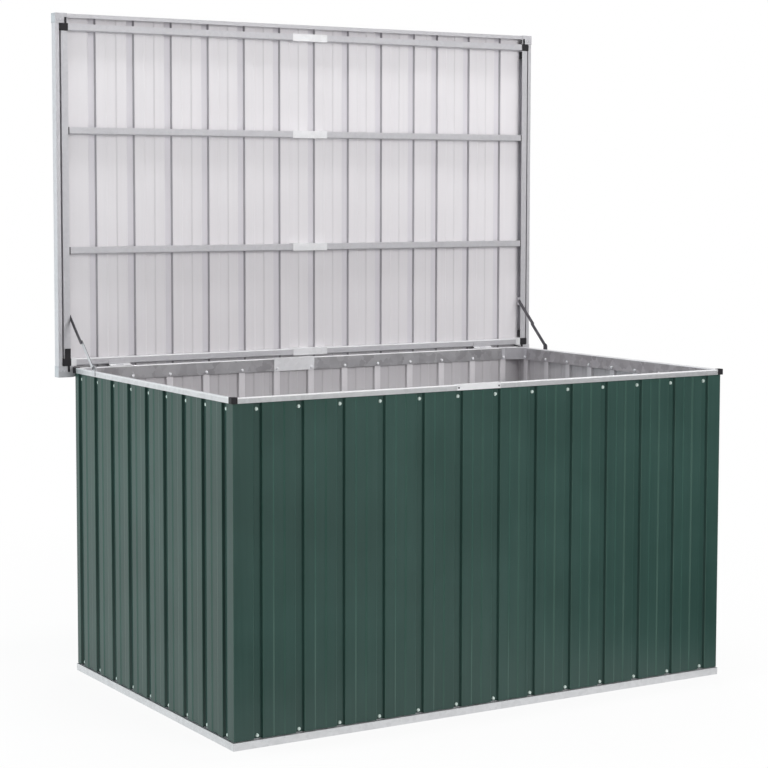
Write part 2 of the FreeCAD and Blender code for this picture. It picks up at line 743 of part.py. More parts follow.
def corner_joint(end, sign):
    """A moulded block that closes the frame's corner, with a spigot in the tube and one in the rail.
    A tongue runs out from it under the corner plate, and the left rear one has a pad on the tube."""
    near = BODY_WIDTH / 2 + TUBE_IN - JOINT_LAP
    far = BODY_WIDTH / 2 + TUBE_OUT + JOINT_SIDE
    front, back = joint_span(end)
    low = TUBE_FACE - JOINT_PROUD
    body = block(vec(near, front, low), vec(far, back, LID_PAN))
    upright = [
        edge for edge in body.Edges
        if all(abs(v.X - far) < 1e-6 for v in edge.Vertexes)
        and abs(edge.Vertexes[0].Z - edge.Vertexes[1].Z) > 1.0
    ]
    body = body.makeChamfer(JOINT_CHAMFER, upright)

    inset = TUBE_WALL + SPIGOT_CLEAR
    bottom, top = TUBE_FACE + inset, LID_PAN - inset
    tube_low, tube_high = BODY_WIDTH / 2 + TUBE_IN + inset, BODY_WIDTH / 2 + TUBE_OUT - inset
    rail_low, rail_high = LID_RAILS[end] - TUBE / 2 + inset, LID_RAILS[end] + TUBE / 2 - inset
    if end == "front":
        tube_start, tube_end = back, back + SPIGOT_LENGTH
        tongue_start, tongue_end = front - JOINT_TONGUE, front
    else:
        tube_start, tube_end = front - SPIGOT_LENGTH, front
        tongue_start, tongue_end = back, back + JOINT_TONGUE
    if end == "rear" and sign < 0:
        pad_low = vec(BODY_WIDTH / 2 + TUBE_IN, front - JOINT_PAD, low)
        pad_high = vec(BODY_WIDTH / 2 + TUBE_IN + JOINT_PAD_WIDTH, front, TUBE_FACE)
        body = body.fuse(block(pad_low, pad_high))
    tongue_x = BODY_WIDTH / 2 + TUBE_IN + JOINT_TONGUE_INSET
    tongue_top = TRIM_FOOT - PLATE_WALL - SPIGOT_CLEAR
    tongue_high = vec(tongue_x + JOINT_TONGUE_WIDTH, tongue_end, tongue_top)
    body = body.fuse(block(vec(tongue_x, tongue_start, low), tongue_high))
    body = body.fuse(block(vec(tube_low, tube_start, bottom), vec(tube_high, tube_end, top)))
    body = body.fuse(block(vec(near - SPIGOT_LENGTH, rail_low, bottom), vec(near, rail_high, top)))
    joint = first_solid(body)
    return joint if sign > 0 else joint.mirror(vec(0, 0, 0), vec(1, 0, 0))


os.makedirs("parts", exist_ok=True)
make_body()
make_rim()
make_floor()
make_hinges()
make_stays()
make_lid_sheets()
make_lid_trim()
make_lid_frame()
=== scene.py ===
# %% [markdown]
# # A garden storage box of profiled steel sheet
# The box stands with its lid swung up. Its walls are thin ribbed sheets, green outside and grey inside,
# bolted into rolled galvanised channels. The lid is two more sheets on a frame of square tubes.
# The solids of the part come in as a fixed frame, in metres, with the front towards -Y. What is modelled
# here goes exactly where they are, so that every piece can still move with its body.

# %% Load the frame
import json
import math

import bmesh
import bpy
from mathutils import Matrix, Vector

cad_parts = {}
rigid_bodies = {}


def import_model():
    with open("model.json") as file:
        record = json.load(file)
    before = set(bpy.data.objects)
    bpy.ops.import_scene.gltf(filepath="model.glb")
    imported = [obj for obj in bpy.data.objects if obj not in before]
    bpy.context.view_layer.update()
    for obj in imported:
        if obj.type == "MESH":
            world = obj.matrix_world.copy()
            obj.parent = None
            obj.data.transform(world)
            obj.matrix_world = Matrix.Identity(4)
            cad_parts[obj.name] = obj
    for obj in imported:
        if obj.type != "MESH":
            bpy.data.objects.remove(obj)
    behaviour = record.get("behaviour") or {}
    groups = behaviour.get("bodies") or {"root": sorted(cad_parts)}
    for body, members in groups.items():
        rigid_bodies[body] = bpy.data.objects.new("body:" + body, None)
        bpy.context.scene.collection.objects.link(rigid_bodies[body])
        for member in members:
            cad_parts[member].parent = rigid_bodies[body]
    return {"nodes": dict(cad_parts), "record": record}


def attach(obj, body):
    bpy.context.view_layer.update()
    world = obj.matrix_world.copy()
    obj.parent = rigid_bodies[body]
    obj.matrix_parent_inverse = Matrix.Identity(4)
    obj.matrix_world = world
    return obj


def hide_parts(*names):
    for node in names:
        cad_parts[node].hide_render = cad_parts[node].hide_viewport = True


for leftover in list(bpy.data.objects):
    bpy.data.objects.remove(leftover)
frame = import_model()
nodes = frame["nodes"]
record = frame["record"]
body_of = {node: body for body, members in record["behaviour"]["bodies"].items() for node in members}
slot_of = {piece["node"]: piece["material_slot"] for piece in record["subparts"]}
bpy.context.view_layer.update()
MM = 0.001

# %% [markdown]
# ## The camera
# The photograph was taken from the left of the front, a little above the rim, with a long lens. A camera
# set by hand would drift, so these numbers come from fitting a pinhole camera to the corners, grooves and
# rails that can be seen. The upright edges are almost parallel in the picture, which is a shifted lens.
# Focal length and centre are in pixels of the picture, the place in metres, dip and turn in degrees.

# %% Camera
IMAGE = 768
FOCAL = 1975.2
CENTRE_X = 330
CENTRE_Y = 345
CAMERA_PLACE = (-3.0085, -4.7546, 1.3810)
CAMERA_DIP = 4.40
CAMERA_TURN = 30.39
lens = bpy.data.cameras.new("camera")
lens.sensor_width = 36
lens.lens = FOCAL * lens.sensor_width / IMAGE
lens.shift_x = 0.5 - CENTRE_X / IMAGE
lens.shift_y = CENTRE_Y / IMAGE - 0.5
lens.clip_end = 100
camera = bpy.data.objects.new("camera", lens)
camera.location = CAMERA_PLACE
camera.rotation_euler = (math.radians(90 - CAMERA_DIP), 0, math.radians(-CAMERA_TURN))
bpy.context.collection.objects.link(camera)
bpy.context.scene.camera = camera
print("lens", round(lens.lens, 1), "mm, shift", round(lens.shift_x, 3), round(lens.shift_y, 3))

# %% [markdown]
# ## Colours and nodes
# Colours are written as they look on a screen, and one function turns them into the linear numbers that
# shaders count with. One more adds a node with its settings and links.

# %% Colours and nodes
def linear(colour):
    parts = [int(colour[i:i + 2], 16) / 255 for i in (1, 3, 5)]
    return [p / 12.92 if p <= 0.04045 else ((p + 0.055) / 1.055) ** 2.4 for p in parts] + [1.0]


def add_node(tree, kind, settings=None, inputs=None):
    node = tree.nodes.new(kind)
    for name, value in (settings or {}).items():
        setattr(node, name, value)
    for name, value in (inputs or {}).items():
        if isinstance(value, bpy.types.NodeSocket):
            tree.links.new(value, node.inputs[name])
        else:
            node.inputs[name].default_value = value
    return node


def new_finish(name):
    material = bpy.data.materials.new(name)
    material.use_nodes = True
    tree = material.node_tree
    place = add_node(tree, "ShaderNodeTexCoord").outputs["Object"]
    return material, tree, tree.nodes["Principled BSDF"], place


print("half grey on the screen is", round(linear("#808080")[0], 3), "in linear light")

# %% [markdown]
# The same few steps come back in every finish: random patches of some size, a number stretched from one
# range to another, two numbers worked into one, a colour between two others, and a bump from a height.
# Each gets a short function, so that a finish below reads as a list of what it is made of.

# %% Steps of a finish
def per_metre(size):
    """Texture scale at which one feature is this many millimetres across."""
    return 1 / (size * MM)


def patches(tree, place, size, detail):
    """Soft random patches from 0 to 1, so many millimetres across."""
    inputs = {"Vector": place, "Scale": per_metre(size), "Detail": detail}
    return add_node(tree, "ShaderNodeTexNoise", inputs=inputs).outputs["Fac"]


def stretched(tree, value, first, last, start=0.0, end=1.0):
    """A number that goes from first to last while another one goes from start to end."""
    inputs = {"Value": value, "From Min": start, "From Max": end, "To Min": first, "To Max": last}
    return add_node(tree, "ShaderNodeMapRange", inputs=inputs).outputs["Result"]


def worked(tree, operation, *numbers):
    """Two or three numbers worked into one."""
    return add_node(
        tree, "ShaderNodeMath", {"operation": operation}, dict(enumerate(numbers)),
    ).outputs["Value"]


def mixed(tree, share, first, last):
    """A colour between two screen colours."""
    inputs = {"Factor": share, "A": linear(first), "B": linear(last)}
    return add_node(tree, "ShaderNodeMix", {"data_type": "RGBA"}, inputs).outputs["Result"]


def bumped(tree, height, strength, depth, **under):
    """A normal that follows a height, so many millimetres deep, on top of the Normal under it, if any."""
    inputs = {"Height": height, "Strength": strength, "Distance": depth * MM, **under}
    return add_node(tree, "ShaderNodeBump", inputs=inputs).outputs["Normal"]


def connect(tree, shader, colour, roughness, normal):
    tree.links.new(colour, shader.inputs["Base Color"])
    tree.links.new(roughness, shader.inputs["Roughness"])
    tree.links.new(normal, shader.inputs["Normal"])


print("patches of 10 mm need a texture scale of", round(per_metre(10)))

# %% [markdown]
# ## Baked polyester paint
# The walls are steel coil, galvanised, painted and baked before it is rolled into ribs. The paint is a
# dark satin green. It is smooth enough to mirror the pale studio, so the wall that is seen at a flat angle
# looks greyer than the one that faces us: that is Fresnel, and comes from the shader by itself.
# One flat colour would look like plastic on walls this large. Four patterns break it: slow cloudy patches,
# faint lines along the sheet from the forming rollers, the fine orange peel of the paint, and broad shallow
# waves, because thin sheet is never quite flat.

# %% Baked paint
def baked_paint(name, deep, light, roughness, wave):
    material, tree, shader, place = new_finish(name)
    drawn = add_node(tree, "ShaderNodeMapping", inputs={"Vector": place, "Scale": (1.0, 1.0, 0.02)})
    along = drawn.outputs["Vector"]
    cloud = patches(tree, place, size=220, detail=3.0)
    lines = patches(tree, along, size=9, detail=2.0)
    share = stretched(tree, worked(tree, "MULTIPLY_ADD", lines, 0.45, cloud), 0.0, 1.0, start=0.5, end=0.95)
    gloss = stretched(tree, lines, roughness - 0.04, roughness + 0.06)
    # The real peel is about 1 mm across; it is drawn at 4 mm so that it shows.
    peel = bumped(tree, patches(tree, place, size=4, detail=1.0), strength=0.12, depth=0.2)
    waves = bumped(tree, patches(tree, along, size=60, detail=1.0), strength=0.6, depth=wave, Normal=peel)
    shader.inputs["IOR"].default_value = 1.5
    connect(tree, shader, mixed(tree, share, deep, light), gloss, waves)
    return material


green_paint = baked_paint("baked_green_polyester_paint", "#233f39", "#2b4842", 0.34, 3.0)
# Lighter green for the ramps and bends of the sheets, as a painted highlight.
green_bend_painted_highlight = baked_paint("green_polyester_paint_painted_bend_highlight", "#2f4f46", "#39584f", 0.34, 3.0)
wall_backing = baked_paint("grey_backing_coat", "#c2bfc2", "#c9c6c9", 0.38, 1.0)
# Lighter grey for the crowns of the wall ribs inside, as a painted highlight.
wall_crown_painted_highlight = baked_paint("grey_backing_coat_painted_crown_highlight", "#d6d3d6", "#dcd9dc", 0.38, 1.0)
lid_backing = baked_paint("pale_grey_backing_coat", "#dad7da", "#dfdcdf", 0.38, 1.8)
# Darker grey for the hollows of the lid's ribs, as painted shade.
lid_hollow_painted_shade = baked_paint("pale_grey_backing_coat_painted_hollow_shade", "#d4d1d6", "#d9d6db", 0.5, 1.8)
# Darker grey for the flanks of the lid's ribs, as painted shade.
lid_flank_painted_shade = baked_paint("grey_backing_coat_painted_flank_shade", "#b3b0b5", "#b9b6bb", 0.5, 1.8)
for paint in (green_paint, green_bend_painted_highlight, wall_backing, wall_crown_painted_highlight, lid_backing, lid_hollow_painted_shade, lid_flank_painted_shade):
    print("paint:", paint.name)

# %% [markdown]
# ## Galvanised steel
# The channels and tubes are rolled from hot-dip galvanised strip. Zinc freezes in crystals a centimetre or
# so across, the spangle, and each one reflects a little differently. Noise alone would look like dirt, so a
# Voronoi texture gives one random value per crystal, and a little noise in its coordinates keeps the
# crystals from looking like a mosaic.

# %% Galvanised finishes
def galvanised_steel(name, dull, bright, spangle, smooth, rough, metallic):
    material, tree, shader, place = new_finish(name)
    wander = add_node(
        tree, "ShaderNodeTexNoise", inputs={"Vector": place, "Scale": per_metre(spangle * 0.6)},
    )
    moved = add_node(
        tree, "ShaderNodeVectorMath", {"operation": "MULTIPLY_ADD"},
        {0: wander.outputs["Color"], 1: (spangle * MM * 0.7,) * 3, 2: place},
    )
    crystals = add_node(
        tree, "ShaderNodeTexVoronoi",
        inputs={"Vector": moved.outputs["Vector"], "Scale": per_metre(spangle)},
    )
    tone = add_node(tree, "ShaderNodeSeparateColor", inputs={"Color": crystals.outputs["Color"]})
    share = add_node(
        tree, "ShaderNodeMath", {"operation": "MULTIPLY_ADD", "use_clamp": True},
        {0: tone.outputs["Red"], 1: 0.55, 2: patches(tree, place, size=90, detail=4.0)},
    )
    faded = stretched(tree, share.outputs["Value"], 0.0, 1.0, start=0.4, end=1.0)
    gloss = stretched(tree, tone.outputs["Green"], smooth, rough)
    facets = bumped(tree, crystals.outputs["Distance"], strength=0.08, depth=0.3)
    shader.inputs["Metallic"].default_value = metallic
    connect(tree, shader, mixed(tree, faded, dull, bright), gloss, facets)
    return material


channel_steel = galvanised_steel("galvanised_channel_steel", "#dcdddf", "#e6e7e9", 11, 0.38, 0.46, 0.8)
# Darker, more mottled steel for the back and right rim channels: painted shade and a painted reflection of
# the dark inside.
channel_steel_painted_shade = galvanised_steel("galvanised_channel_steel_painted_shade", "#b6b4b7", "#d3d2d4", 22, 0.36, 0.48, 0.85)
tube_steel = galvanised_steel("galvanised_tube_steel", "#d6d5d9", "#dcdbdf", 9, 0.41, 0.45, 0.65)
plate_steel = galvanised_steel("bright_galvanised_plate", "#eaeaec", "#f2f2f4", 13, 0.34, 0.44, 0.45)
corner_steel = galvanised_steel("dull_galvanised_corner_plate", "#bcbbbf", "#c6c5c9", 12, 0.5, 0.62, 0.25)
floor_steel = galvanised_steel("dull_galvanised_floor_sheet", "#b6b6b9", "#c6c6c9", 14, 0.42, 0.6, 0.9)
for steel in (channel_steel, channel_steel_painted_shade, tube_steel, plate_steel, corner_steel, floor_steel):
    print("galvanised:", steel.name)

# %% [markdown]
# ## Zinc plating and moulded plastic
# Bolts and stays are plated, not dipped, so they have no spangle: they are even and a little bluish, with
# fine tumbling scratches. The bolts' pale mint is a painted reflection of the green walls. The caps and
# corner joints are black polypropylene, moulded with a fine grain.

# %% Plated and moulded finishes
def plated_steel(name, dull, bright, smooth, rough, metallic):
    material, tree, shader, place = new_finish(name)
    share = patches(tree, place, size=12, detail=4.0)
    # Tumbling scratches are drawn 2 mm long, several times their real size, so that they show.
    scratch = patches(tree, place, size=2, detail=3.0)
    gloss = stretched(tree, scratch, smooth, rough)
    shader.inputs["Metallic"].default_value = metallic
    colour = mixed(tree, share, dull, bright)
    connect(tree, shader, colour, gloss, bumped(tree, scratch, strength=0.1, depth=0.1))
    return material


def moulded_plastic(name, deep, worn):
    material, tree, shader, place = new_finish(name)
    share = patches(tree, place, size=15, detail=2.0)
    # Mould grain is about 0.3 mm; it is drawn at 1.2 mm so that it shows.
    grain = patches(tree, place, size=1.2, detail=1.0)
    gloss = stretched(tree, grain, 0.45, 0.65)
    shader.inputs["IOR"].default_value = 1.49
    colour = mixed(tree, share, deep, worn)
    connect(tree, shader, colour, gloss, bumped(tree, grain, strength=0.25, depth=0.1))
    return material


# The stays' dark tone stands partly for painted shade on their edges and inner sides.
stay_steel = plated_steel("dull_plated_stay_steel", "#67666a", "#7c7b7f", 0.32, 0.48, 1.0)
# The mint tint of the bolts is a painted reflection of the green walls.
bolt_steel = plated_steel("zinc_plated_bolt_steel", "#cfe0d9", "#e2efe9", 0.3, 0.44, 0.5)
nut_steel = plated_steel("zinc_plated_nut_steel", "#e8e8ec", "#f4f4f7", 0.3, 0.44, 0.1)
black_plastic = moulded_plastic("black_moulded_polypropylene", "#1c1b1e", "#29272b")
for finish in (stay_steel, bolt_steel, nut_steel, black_plastic):
    print("small parts:", finish.name)

# %% [markdown]
# Most pieces wear the finish of their slot. A few look different from their neighbours: the back and right
# channels of the rim are darker and more mottled, as painted shade and a painted reflection of the box's dark
# inside, the lid's corner plates and the rear brackets are less bright than the other plates, and the hinge
# leaves are dipped, not plated like the stays.

# %% Who wears what
finishes = {
    "channel": channel_steel,
    "lid_frame": tube_steel,
    "bright_plate": plate_steel,
    "floor_sheet": floor_steel,
    "hardware": stay_steel,
    "fasteners": bolt_steel,
    "black_plastic": black_plastic,
}
own_finish = {
    "rim_rail_back_1": channel_steel_painted_shade,
    "rim_rail_back_2": channel_steel_painted_shade,
    "rim_rail_right": channel_steel_painted_shade,
    "rear_corner_brackets": tube_steel,
    "lid_corner_plates": corner_steel,
    "hinge_body_leaves": plate_steel,
    "hinge_lid_leaves": tube_steel,
}


def finish_of(node):
    return own_finish.get(node, finishes[slot_of[node]])


print("slots with a finish:", sorted(finishes))

# %% [markdown]
# ## Tools of the bench
# An operator works on whatever is selected, so each piece is first made the only selected one. A modifier
# is added and applied in one go. A finished piece is put on the body that carries it, and the solid it stands
# for is hidden. Faces are picked by a test, to be painted or reshaped.

# %% Helpers for modelling
SMOOTH_ANGLE = math.radians(40)
# A face looks in a direction if its normal has more than this share of it.
SQUARE_ON = 0.9


def only(piece):
    bpy.ops.object.select_all(action="DESELECT")
    piece.select_set(True)
    bpy.context.view_layer.objects.active = piece


def finish_with(piece, kind, **settings):
    modifier = piece.modifiers.new(kind.lower(), kind)
    for name, value in settings.items():
        setattr(modifier, name, value)
    only(piece)
    bpy.ops.object.modifier_apply(modifier=modifier.name)


def smooth_shaded(piece):
    """Round edges look round and flat faces stay flat."""
    only(piece)
    bpy.ops.object.shade_smooth_by_angle(angle=SMOOTH_ANGLE)
    finish_with(piece, "WEIGHTED_NORMAL", keep_sharp=True, weight=100)


def hand_over(piece, node):
    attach(piece, body_of[node])
    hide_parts(node)


def select_faces(piece, test):
    """In edit mode, select the faces that pass a test of their place or normal."""
    bpy.ops.mesh.select_mode(type="FACE")
    bpy.ops.mesh.select_all(action="DESELECT")
    shape = bmesh.from_edit_mesh(piece.data)
    for face in shape.faces:
        if test(face):
            face.select_set(True)
    bmesh.update_edit_mesh(piece.data)


def paint_faces(piece, finish, test):
    """Give the faces that pass a test a finish of their own."""
    piece.data.materials.append(finish)
    only(piece)
    bpy.ops.object.mode_set(mode="EDIT")
    select_faces(piece, test)
    piece.active_material_index = len(piece.data.materials) - 1
    bpy.ops.object.material_slot_assign()
    bpy.ops.object.mode_set(mode="OBJECT")


print("bench ready")

# %% [markdown]
# ## The ribbed wall sheets
# A wall is two sheets that nest in each other at one rib. Each sheet has narrow ribs pressed inwards, which
# are the dark grooves seen from outside, and a shallow step in the middle of every flat pan. It could be a
# flat plate with a bump map, but the grooves throw real shadows and show in the outline, so the section is
# drawn as a line of points: u runs along the wall as seen from outside, d goes inwards. From here on sizes
# are in millimetres, and become metres when a point is placed.

# %% Section of a sheet
BODY_WIDTH = 1570.0
BODY_DEPTH = 980.0
RIM_HEIGHT = 881.0
RAIL_WALL = 1.0
LIP_GAP = 2.0
PAN_FACE = RAIL_WALL + LIP_GAP
BASE_LIP = 20.0
SHEET = 0.6
SHEET_RAISE = 2.0
RIB_DEPTH = 8.0
RIB_MOUTH = 26.0
RIB_FLOOR = 19.0
SWAGE_WIDTH = 27.0
SWAGE_RAMP = 4.0
SWAGE_RISE = 2.0
RAIL_WIDTH = PAN_FACE + RIB_DEPTH + SHEET + RAIL_WALL


def rib_points(centre):
    return [
        (centre - RIB_MOUTH / 2, 0), (centre - RIB_FLOOR / 2, RIB_DEPTH),
        (centre + RIB_FLOOR / 2, RIB_DEPTH), (centre + RIB_MOUTH / 2, 0),
    ]


def swage_points(centre):
    half = SWAGE_WIDTH / 2
    return [
        (centre - half - SWAGE_RAMP, 0), (centre - half, SWAGE_RISE),
        (centre + half, SWAGE_RISE), (centre + half + SWAGE_RAMP, 0),
    ]


def ribbed_line(ribs):
    line = rib_points(ribs[0])
    for before, rib in zip(ribs, ribs[1:]):
        line += swage_points((before + rib) / 2) + rib_points(rib)
    return line


print("a rib takes", len(rib_points(0)), "points and the step in a pan", len(swage_points(0)))

# %% [markdown]
# The two sheets of a wall meet at one rib past the middle. The second one lies over the first there, so its
# line is moved out by one sheet, and after the rib it steps back to the common plane. The front and back
# sheets are folded round the corners, and the side sheets end flat behind those folds.

# %% Lines of the wall sheets
SIDES = ("front", "right", "back", "left")
PITCH = {"front": 119.8, "back": 119.8, "left": 111.6, "right": 111.6}
FIRST_RIB = {"front": 72.8, "back": 72.8, "left": 36.7, "right": 36.7}
LENGTH = {"front": BODY_WIDTH, "back": BODY_WIDTH, "left": BODY_DEPTH, "right": BODY_DEPTH}
LAP_TAIL = 7.0
LAP_STEP = 3.0


def rib_centres(side):
    room = LENGTH[side] - FIRST_RIB[side] - RAIL_WIDTH - RIB_MOUTH
    return [FIRST_RIB[side] + PITCH[side] * i for i in range(int(room / PITCH[side]) + 1)]


def lap_rib(ribs):
    return (len(ribs) + 1) // 2


def lapped_rib(centre):
    """A rib that lies over another one, one sheet further out all along."""
    flank = math.hypot(RIB_MOUTH / 2 - RIB_FLOOR / 2, RIB_DEPTH)
    spread = SHEET * (flank - (RIB_MOUTH - RIB_FLOOR) / 2) / RIB_DEPTH
    left = [
        (-RIB_MOUTH / 2 - LAP_TAIL, -SHEET), (-RIB_MOUTH / 2 + spread, -SHEET),
        (-RIB_FLOOR / 2 + spread, RIB_DEPTH - SHEET),
    ]
    right = [(-u, d) for u, d in reversed(left)]
    return [(centre + u, d) for u, d in left + right]


def wall_lines(side):
    ribs = rib_centres(side)
    lap = lap_rib(ribs)
    folded = side in ("front", "back")
    edge = PAN_FACE + (SHEET if folded else 0)
    near_fold = [(edge, RIB_DEPTH)] if folded else []
    far_fold = [(LENGTH[side] - edge, RIB_DEPTH)] if folded else []
    tail = ribs[lap] + RIB_MOUTH / 2 + LAP_TAIL
    under = near_fold + [(edge, 0)] + ribbed_line(ribs[:lap + 1]) + [(tail, 0)]
    over = lapped_rib(ribs[lap])[:-1] + [(tail + LAP_STEP, -SHEET), (tail + 2 * LAP_STEP, 0)]
    over += swage_points((ribs[lap] + ribs[lap + 1]) / 2) + ribbed_line(ribs[lap + 1:])
    over += [(LENGTH[side] - edge, 0)] + far_fold
    return under, over


for side in SIDES:
    print(side, "wall:", len(rib_centres(side)), "ribs, lap at rib", lap_rib(rib_centres(side)) + 1)

# %% [markdown]
# To draw a sheet, a small plane is merged to a single corner, and that corner is pulled out point after
# point, as one would trace the section by hand. The whole line is then pulled up into a sheet. Bevel turns
# each crease into a bend, and Solidify gives it the thickness of the steel, with the other side of the sheet
# in the second finish. The cut edges are thin enough to look green, so they take the finish with that number.

# %% Draw a sheet from its section
BEND = 1.2
CREASE_ANGLE = math.radians(14)


def traced_sheet(name, points, sweep, facing):
    """A surface through the points of a section, pulled along the sweep, its first side facing one way."""
    bpy.ops.object.select_all(action="DESELECT")
    bpy.ops.mesh.primitive_plane_add(size=MM, location=points[0])
    piece = bpy.context.object
    piece.name = name
    bpy.ops.object.transform_apply(location=True, rotation=True, scale=True)
    bpy.ops.object.mode_set(mode="EDIT")
    bpy.ops.mesh.select_mode(type="VERT")
    bpy.ops.mesh.select_all(action="SELECT")
    bpy.ops.mesh.merge(type="CENTER")
    for before, after in zip(points, points[1:]):
        bpy.ops.mesh.extrude_vertices_move(TRANSFORM_OT_translate={"value": after - before})
    bpy.ops.mesh.select_all(action="SELECT")
    bpy.ops.mesh.extrude_edges_move(TRANSFORM_OT_translate={"value": sweep})
    bpy.ops.mesh.select_all(action="SELECT")
    bpy.ops.mesh.normals_make_consistent(inside=False)
    faces = bmesh.from_edit_mesh(piece.data).faces
    if sum(face.normal.dot(facing) * face.calc_area() for face in faces) < 0:
        bpy.ops.mesh.flip_normals()
    bpy.ops.object.mode_set(mode="OBJECT")
    return piece


def bend_and_thicken(piece, finishes_of_sides, cut_edge):
    for finish in finishes_of_sides:
        piece.data.materials.append(finish)
    finish_with(
        piece, "BEVEL", width=BEND * MM, segments=2, limit_method="ANGLE", angle_limit=CREASE_ANGLE,
    )
    finish_with(
        piece, "SOLIDIFY", thickness=SHEET * MM, offset=-1, use_even_offset=True,
        material_offset=1, material_offset_rim=cut_edge,
    )


print("sheets of", SHEET, "mm with bends of", BEND, "mm")

# %% [markdown]
# The ramps and bends get a lighter green and the crowns of the ribs inside the walls a lighter grey, as
# painted highlights, and the hollows and flanks of the lid's ribs a darker grey, as painted shade. So these
# get tones of their own. Picked by hand, they would be lost with every change of the section, so they are
# chosen by the side they are on, the first or the second, and by how deep they lie behind the plane of the
# pans.

# %% Tones by depth
RAMP_MARGIN = 0.1
RAMP_FROM = RAMP_MARGIN
RAMP_TO = SWAGE_RISE - RAMP_MARGIN
FLANK_FROM = 0.35 * RIB_DEPTH
FLOOR_FROM = 0.8 * RIB_DEPTH
FLOOR_TO = 1.3 * RIB_DEPTH
# The ramp, bend and crown tones are painted highlights; the lid's hollow and flank tones are painted shade.
WALL_TONES = [(0, RAMP_FROM, RAMP_TO, green_bend_painted_highlight), (1, FLOOR_FROM, FLOOR_TO, wall_crown_painted_highlight)]
LID_TONES = [
    (0, FLANK_FROM, FLOOR_FROM, lid_flank_painted_shade), (0, FLOOR_FROM, FLOOR_TO, lid_hollow_painted_shade),
    (1, SHEET + RAMP_FROM, SHEET + RAMP_TO, green_bend_painted_highlight),
]


def tone_by_depth(piece, pan, facing, tones):
    for side, shallow, deep, finish in tones:
        def in_reach(face):
            depth = (pan - face.calc_center_median()).dot(facing) / MM
            return face.material_index == side and shallow < depth < deep

        paint_faces(piece, finish, in_reach)


print(len(WALL_TONES), "tones on a wall sheet,", len(LID_TONES), "on a lid sheet")

# %% [markdown]
# Now the eight sheets of the walls, from just above the base channel up to the top of the rim.

# %% Wall sheets
OUTWARD = {
    "front": Vector((0, -1, 0)), "right": Vector((1, 0, 0)),
    "back": Vector((0, 1, 0)), "left": Vector((-1, 0, 0)),
}


def on_wall(side, u, d, z):
    """A point of a wall, from millimetres along it, inwards and up, to metres in the frame."""
    x, y = {
        "front": (u - BODY_WIDTH / 2, d - BODY_DEPTH / 2),
        "right": (BODY_WIDTH / 2 - d, u - BODY_DEPTH / 2),
        "back": (BODY_WIDTH / 2 - u, BODY_DEPTH / 2 - d),
        "left": (d - BODY_WIDTH / 2, BODY_DEPTH / 2 - u),
    }[side]
    return Vector((x, y, z)) * MM


sheet_foot = BASE_LIP + SHEET_RAISE
sheet_rise = Vector((0, 0, RIM_HEIGHT - RAIL_WALL - sheet_foot)) * MM
for side in SIDES:
    for number, line in enumerate(wall_lines(side), 1):
        node = f"{side}_wall_sheet_{number}"
        points = [on_wall(side, u, PAN_FACE + d, sheet_foot) for u, d in line]
        sheet = traced_sheet(node + "_ribbed", points, sheet_rise, OUTWARD[side])
        bend_and_thicken(sheet, (green_paint, wall_backing), cut_edge=0)
        tone_by_depth(sheet, on_wall(side, 0, PAN_FACE, 0), OUTWARD[side], WALL_TONES)
        smooth_shaded(sheet)
        hand_over(sheet, node)
        print(sheet.name, len(sheet.data.polygons), "faces")

# %% [markdown]
# ## The lid sheets
# The lid's two sheets have the same ribs, standing up from the lid when it is closed. Their pale underside
# faces us now. They could be drawn lying down and then swung up, but drawn where they stand they need no
# turning: the section runs along that underside, and is pulled up along the depth of the open lid.

# %% Sizes of the lid
HINGE_Y = 493.65
LEAF_WALL = 1.5
LEAF_GAP = 0.4
HINGE_Z = RIM_HEIGHT + LEAF_WALL + LEAF_GAP / 2
OVERHANG_SIDE = 43.5
OVERHANG_FRONT = 22.0
OVERHANG_BACK = 31.5
LID_WIDTH = BODY_WIDTH + 2 * OVERHANG_SIDE
LID_FRONT = -BODY_DEPTH / 2 - OVERHANG_FRONT
LID_BACK = BODY_DEPTH / 2 + OVERHANG_BACK
TUBE = 20.0
TUBE_FACE = RIM_HEIGHT + 2 * LEAF_WALL + LEAF_GAP
LID_PAN = TUBE_FACE + TUBE
TRIM_WALL = 1.0
TRIM_CLEAR = 0.3
TRIM_EDGE = TRIM_WALL + TRIM_CLEAR
LID_PITCH = 121.0
LID_FIRST_RIB = 118.5
LID_LAP_PITCH = 87.6
LID_LAP = 20.0
RIBS_LEFT = 10
RIBS_RIGHT = 3
TOWARDS_US = Vector((0, -1, 0))


def on_lid(x, y, z):
    """A point of the closed lid, where it is when the lid stands open, in metres."""
    return Vector((x, HINGE_Y + z - HINGE_Z, HINGE_Z - y + HINGE_Y)) * MM


print("lid", LID_WIDTH, "by", LID_BACK - LID_FRONT, "mm")

# %% [markdown]
# The left sheet is long and has most of the ribs; the right one is a short length that fills the rest. It
# lies over the end of the left sheet on a flat pan, which is narrower there, and steps down after it.

# %% Lid sheets
lid_ribs_left = [LID_FIRST_RIB - LID_WIDTH / 2 + LID_PITCH * i for i in range(RIBS_LEFT)]
lid_ribs_right = [lid_ribs_left[-1] + LID_LAP_PITCH + LID_PITCH * i for i in range(RIBS_RIGHT)]
lid_edge = LID_WIDTH / 2 - TRIM_EDGE
lap_middle = (lid_ribs_left[-1] + lid_ribs_right[0]) / 2
lap_end = lap_middle + LID_LAP / 2
lid_lines = {
    "lid_sheet_1": [(-lid_edge, 0)] + ribbed_line(lid_ribs_left) + [(lap_end, 0)],
    "lid_sheet_2": [
        (lap_middle - LID_LAP / 2, SHEET), (lap_end + LAP_STEP / 2, SHEET), (lap_end + LAP_STEP, 0),
    ] + ribbed_line(lid_ribs_right) + [(lid_edge, 0)],
}
lid_start = LID_BACK - TRIM_EDGE
lid_reach = Vector((0, 0, LID_BACK - LID_FRONT - 2 * TRIM_EDGE)) * MM
